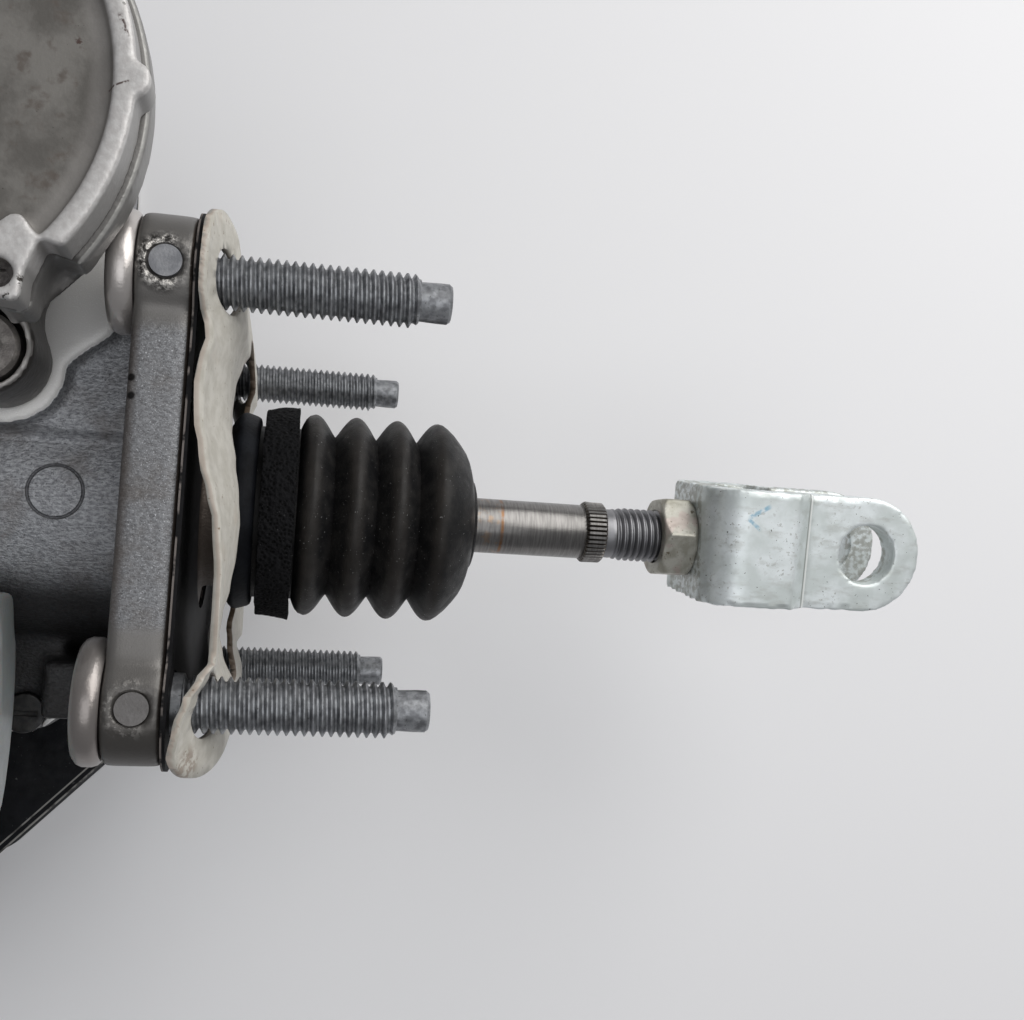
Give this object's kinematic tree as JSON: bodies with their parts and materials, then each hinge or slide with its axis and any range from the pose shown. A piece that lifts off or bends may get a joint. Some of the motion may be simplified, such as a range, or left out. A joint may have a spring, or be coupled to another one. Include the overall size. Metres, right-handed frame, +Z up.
{
  "type": "brake booster",
  "caption": "Electro-hydraulic brake booster with motor, hydraulic block, control unit, reservoir, studded flange, booted push rod and clevis.",
  "frame": {"origin": "on the push rod's axis, in the rear face of the flange's black insulating sheet", "axes": "+X along the push rod to the clevis, +Z up along the motor's axis as the unit lies on its control unit, +Y completes the right hand"},
  "size_m": [0.2619, 0.1873, 0.135],
  "materials": {
    "cast_aluminium": "satin",
    "machined_casting": "satin",
    "stud_steel": "satin",
    "pin_steel": "satin",
    "rubber_sheet": "matte",
    "gasket_board": "matte",
    "collar_plastic": "satin",
    "foam": "matte",
    "boot_rubber": "satin",
    "spring_steel": "satin",
    "seal_rubber": "satin",
    "screw_steel": "satin",
    "lamination_steel": "satin",
    "copper_wire": "gloss",
    "bearing_steel": "gloss",
    "case_plastic": "satin",
    "lid_aluminium": "satin",
    "board_laminate": "satin",
    "pin_brass": "gloss",
    "valve_steel": "gloss",
    "coil_plastic": "satin",
    "tank_plastic": "satin",
    "plug_plastic": "satin",
    "piston_aluminium": "satin",
    "rod_steel": "satin",
    "nut_zinc": "satin",
    "clevis_zinc": "satin",
    "magnet": "satin",
    "cap_plastic": "satin",
    "float_plastic": "satin"
  },
  "bodies": {
    "root": {"main_housing": "cast_aluminium", "mounting_studs": "stud_steel", "stud_cross_pins": "pin_steel", "insulating_gasket": "rubber_sheet", "face_gasket": "gasket_board", "boot_collar": "collar_plastic", "foam_ring": "foam", "dust_boot": "boot_rubber", "piston_stop_ring": "spring_steel", "piston_seals": "seal_rubber", "secondary_spring": "spring_steel", "motor_housing": "cast_aluminium", "motor_housing_screws": "screw_steel", "motor_cover": "machined_casting", "motor_cover_screws": "screw_steel", "stator_core": "lamination_steel", "stator_windings": "copper_wire", "bearing_outer_ring": "bearing_steel", "plunger_seals": "seal_rubber", "simulator_spring": "spring_steel", "simulator_cap": "machined_casting", "control_unit_case": "case_plastic", "control_unit_lid": "lid_aluminium", "control_unit_screws": "screw_steel", "circuit_board": "board_laminate", "connector_pins": "pin_brass", "valve_cartridges": "valve_steel", "valve_coils": "coil_plastic", "reservoir_body": "tank_plastic", "feed_grommets": "seal_rubber", "block_plug": "plug_plastic"},
    "primary_piston": {"primary_piston": "piston_aluminium", "ball_retainer": "spring_steel"},
    "push_rod": {"push_rod": "rod_steel", "jam_nut": "nut_zinc", "clevis": "clevis_zinc"},
    "secondary_piston": {"secondary_piston": "piston_aluminium", "primary_spring": "spring_steel"},
    "simulator_piston": {"simulator_piston": "piston_aluminium"},
    "motor_rotor": {"rotor_hub": "lamination_steel", "rotor_magnets": "magnet", "ball_nut": "bearing_steel", "bearing_inner_ring": "bearing_steel", "bearing_balls": "bearing_steel"},
    "pressure_plunger": {"pressure_plunger": "piston_aluminium", "screw_spindle": "rod_steel"},
    "reservoir_cap": {"reservoir_cap": "cap_plastic"},
    "level_float": {"level_float": "float_plastic"}
  },
  "joints": [
    {"name": "pedal_stroke", "type": "slide", "parent": "root", "child": "primary_piston", "axis": [-1, 0, 0], "range_m": [0, 0.022], "stiffness_N_per_m": 1500, "springref_m": -0.01, "deforming": ["dust_boot", "primary_spring"]},
    {"name": "rod_swing", "type": "hinge", "parent": "primary_piston", "child": "push_rod", "pos_m": [0.016, 0, 0], "axis": [0, 0, 1], "range_deg": [-2.5, 2.5]},
    {"name": "secondary_slide", "type": "slide", "parent": "root", "child": "secondary_piston", "axis": [-1, 0, 0], "range_m": [0, 0.011], "deforming": ["secondary_spring"]},
    {"name": "simulator_slide", "type": "slide", "parent": "root", "child": "simulator_piston", "axis": [0, 0, 1], "range_m": [0, 0.00881], "deforming": ["simulator_spring"]},
    {"name": "motor_spin", "type": "hinge", "parent": "root", "child": "motor_rotor", "pos_m": [-0.043, 0.048, 0], "axis": [0, 0, 1], "range_deg": [0, 2160]},
    {"name": "plunger_slide", "type": "slide", "parent": "root", "child": "pressure_plunger", "axis": [0, 0, -1], "range_m": [0, 0.03]},
    {"name": "cap_turn", "type": "hinge", "parent": "root", "child": "reservoir_cap", "pos_m": [-0.072, -0.09, 0], "axis": [0, -1, 0], "range_deg": [0, 90]},
    {"name": "float_rise", "type": "slide", "parent": "root", "child": "level_float", "axis": [0, -1, 0], "range_m": [0, 0.02]}
  ],
  "couplings": [
    {"joint": "secondary_slide", "follows": "pedal_stroke", "ratio": 0.5},
    {"joint": "simulator_slide", "follows": "pedal_stroke", "ratio": 0.4},
    {"joint": "plunger_slide", "follows": "motor_spin", "m_per_rad": 0.00079577}
  ]
}
